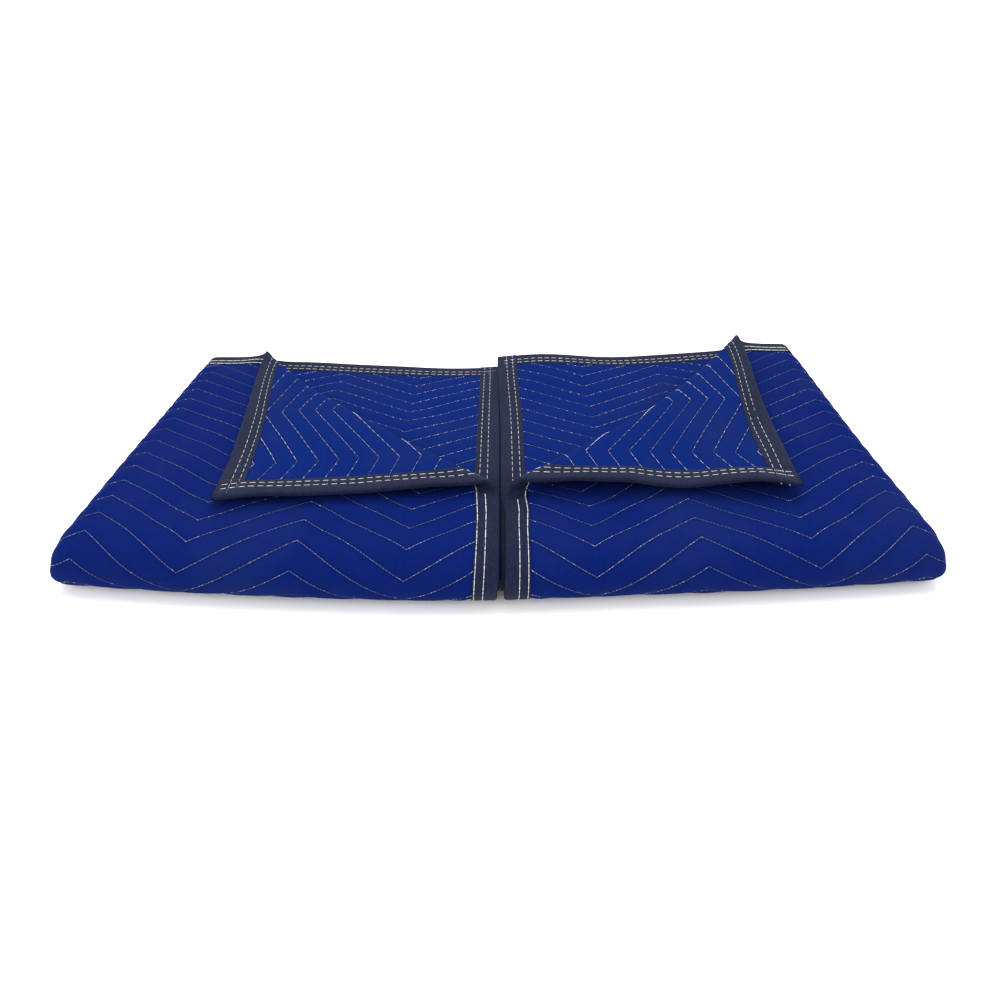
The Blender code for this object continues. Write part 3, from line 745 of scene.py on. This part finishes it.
def quilting_stitches():
    """Centre and half step of every quilting stitch of the cloth."""
    slope = math.hypot(CHEVRON_HALF, CHEVRON_RISE) / CHEVRON_HALF
    du = STITCH_PITCH / slope
    reach = HALF_U - TAPE_WIDTH + 0.001
    across = np.arange(-reach + du / 2, reach, du)
    rows = np.arange(-math.ceil(HALF_V / ROW_PITCH) - 3, math.ceil(HALF_V / ROW_PITCH) + 4)
    u, row = (a.ravel() for a in np.meshgrid(across, rows * ROW_PITCH, indexing="ij"))
    v = row - chevron(u, row)
    for repeat in range(3):
        v = row - chevron(u, v)
    ahead = (row - chevron(u + du * 0.05, v) - (row - chevron(u - du * 0.05, v))) / (du * 0.1)
    inside = np.abs(v) < HALF_V - TAPE_WIDTH + 0.001
    return u[inside], v[inside], np.full(inside.sum(), du / 2), ahead[inside] * du / 2


def thread_lost(u, v, most):
    """Which stitches have sunk out of sight, in uneven patches."""
    patch = np.sin(9 * u + 2) * np.sin(13 * v + 1) + 0.6 * np.sin(31 * u - 17 * v)
    chance = most * smooth(0.5 + 0.45 * patch)
    number = np.arange(len(u))
    return np.mod(np.sin(number * 12.9898) * 43758.5453, 1.0) < chance


def make_thread_look(name, shade, light):
    """Matt twisted cotton, its tone uneven along the thread."""
    look = bpy.data.materials.new(name)
    look.use_nodes = True
    n = Nodes(look.node_tree)
    shell = look.node_tree.nodes["Principled BSDF"]
    lint = n.noise(place_of(n), 600.0, 2.0, 0.6)
    n.link(n.mix(n.ramp(lint, 0.3, 0.7), shade, light), shell.inputs["Base Color"])
    bump = n.add("ShaderNodeBump")
    bump.inputs["Strength"].default_value = 0.4
    bump.inputs["Distance"].default_value = 0.0002
    n.link(lint, bump.inputs["Height"])
    n.link(bump.outputs[0], shell.inputs["Normal"])
    shell.inputs["Roughness"].default_value = 0.75
    shell.inputs["Specular IOR Level"].default_value = 0.2
    return look


FACES = (
    {"name": "outer", "up": -1, "seen": seen_outer, "share": 0.70, "below": 0.70,
     "half": 0.00027, "high": 0.00032, "lost": 0.45,
     "shade": (0.34, 0.36, 0.48, 1.0), "light": (0.62, 0.62, 0.70, 1.0),
     "tape_pitch": 0.0125, "tape_share": 1.22, "tape_half": 0.00060, "tape_high": 0.00062},
    {"name": "inner", "up": 1, "seen": seen_inner, "share": 1.12, "below": 0.66,
     "half": 0.00033, "high": 0.00042, "lost": 0.02,
     "shade": (0.50, 0.53, 0.66, 1.0), "light": (0.86, 0.86, 0.90, 1.0),
     "tape_pitch": 0.0112, "tape_share": 0.84, "tape_half": 0.00038, "tape_high": 0.00045},
)
TAPE_THREAD_SHADE = (0.44, 0.44, 0.46, 1.0)
TAPE_THREAD_LIGHT = (0.74, 0.73, 0.71, 1.0)

stitch_u, stitch_v, step_u, step_v = quilting_stitches()
half = face_half(stitch_u, stitch_v)
tape_thread_look = make_thread_look("white_binding_thread", TAPE_THREAD_SHADE, TAPE_THREAD_LIGHT)


def keep_thread(piece, look):
    """Give a piece of thread its look and its place in the part."""
    piece.data.materials.append(look)
    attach(piece, "root")


def tape_stitches(name, along_u, side, face):
    """Both stitch rows of one binding, on one face, out to the corners."""
    pitch, up = face["tape_pitch"], face["up"]
    reach = (HALF_U if along_u else HALF_V) - 0.004
    along = np.arange(-reach + pitch / 2, reach, pitch)
    along, inward = (a.ravel() for a in np.meshgrid(along, np.array(STITCH_ROWS), indexing="ij"))
    u, v = tape_places(along_u, side, along, inward)
    step = np.full(along.shape, pitch * face["tape_share"] / 2)
    none = np.zeros(along.shape)
    level = CLOTH / 2 + up * tape_height(inward)
    steps = (step, none) if along_u else (none, step)
    return lay_stitches(name, u, v, *steps, level, up, face["tape_half"], face["tape_high"])


for face in FACES:
    look = make_thread_look("quilting_thread_look_" + face["name"], face["shade"], face["light"])
    shows = face["seen"](stitch_u, stitch_v) & ~thread_lost(stitch_u, stitch_v, face["lost"])
    share = np.where(stitch_v[shows] < 0, face["share"], face["below"])
    keep_thread(lay_stitches(
        "quilting_thread_" + face["name"], stitch_u[shows], stitch_v[shows],
        step_u[shows] * share, step_v[shows] * share,
        CLOTH / 2 + face["up"] * half[shows], face["up"], face["half"], face["high"],
    ), look)
    for row in TAPE_SIDES:
        name = row["name"] + "_stitches_" + face["name"]
        keep_thread(tape_stitches(name, row["along_u"], row["side"], face), tape_thread_look)

# The floor is a plain pale sweep. Soft panels light the blanket from above, and from
# the front left and right. The camera stands at the photograph's height and angle,
# with a small upward shift for its framing.
floor_data = bpy.data.meshes.new("studio_floor")
floor_data.from_pydata([(-30, -30, 0), (30, -30, 0), (30, 30, 0), (-30, 30, 0)], [], [(0, 1, 2, 3)])
floor = bpy.data.objects.new("studio_floor", floor_data)
bpy.context.scene.collection.objects.link(floor)
floor_look = bpy.data.materials.new("pale_floor")
floor_look.use_nodes = True
floor_look.node_tree.nodes["Principled BSDF"].inputs["Base Color"].default_value = (0.93, 0.93, 0.93, 1.0)
floor_look.node_tree.nodes["Principled BSDF"].inputs["Roughness"].default_value = 0.9
floor_data.materials.append(floor_look)

world = bpy.data.worlds.new("soft_studio")
world.use_nodes = True
world.node_tree.nodes["Background"].inputs[0].default_value = (1.0, 1.0, 1.0, 1.0)
world.node_tree.nodes["Background"].inputs[1].default_value = 1.10
bpy.context.scene.world = world
bpy.context.scene.view_settings.view_transform = "Standard"

LAMPS = (
    {"name": "overhead", "at": (0.0, 0.4, 2.4), "size": 2.4, "watts": 62.0},
    {"name": "front_left", "at": (-1.8, -1.6, 1.7), "size": 1.6, "watts": 33.0},
    {"name": "front_right", "at": (1.9, -1.5, 1.6), "size": 1.6, "watts": 18.0},
)
for lamp in LAMPS:
    light = bpy.data.lights.new(lamp["name"], "AREA")
    light.energy = lamp["watts"]
    light.size = lamp["size"]
    holder = bpy.data.objects.new(lamp["name"], light)
    holder.location = lamp["at"]
    holder.rotation_euler = (-Vector(lamp["at"])).to_track_quat("-Z", "Y").to_euler()
    bpy.context.scene.collection.objects.link(holder)

PHOTO_SIZE = 1000.0
FRAME_MIDDLE_ROW = 300.0
HORIZON_ROW = 36.5
LINE_OF_SIGHT = 698.0
DEPTH_ROWS = 387.0
FRONT_EDGE_AWAY = 0.7612
sine = (FRAME_MIDDLE_ROW - HORIZON_ROW) / LINE_OF_SIGHT
pitch = math.asin(sine)
focal_pixels = LINE_OF_SIGHT * math.cos(pitch)
camera_data = bpy.data.cameras.new("photo_camera")
camera_data.sensor_width = 36.0
camera_data.lens = focal_pixels / PHOTO_SIZE * camera_data.sensor_width
camera_data.shift_y = (FRAME_MIDDLE_ROW - PHOTO_SIZE / 2) / PHOTO_SIZE
camera = bpy.data.objects.new("photo_camera", camera_data)
top = BOOK_FOLD_RADIUS * 2
above_top = DEPTH_ROWS / LINE_OF_SIGHT * math.cos(pitch)
front = -(FOLDED_DEPTH + RIGHT_REACH - FRONT_SWELL) / 2
before_front = FRONT_EDGE_AWAY - above_top * math.tan(pitch)
camera.location = (0.0, front - before_front, top + above_top)
camera.rotation_euler = (math.pi / 2 - pitch, 0.0, 0.0)
bpy.context.scene.collection.objects.link(camera)
bpy.context.scene.camera = camera
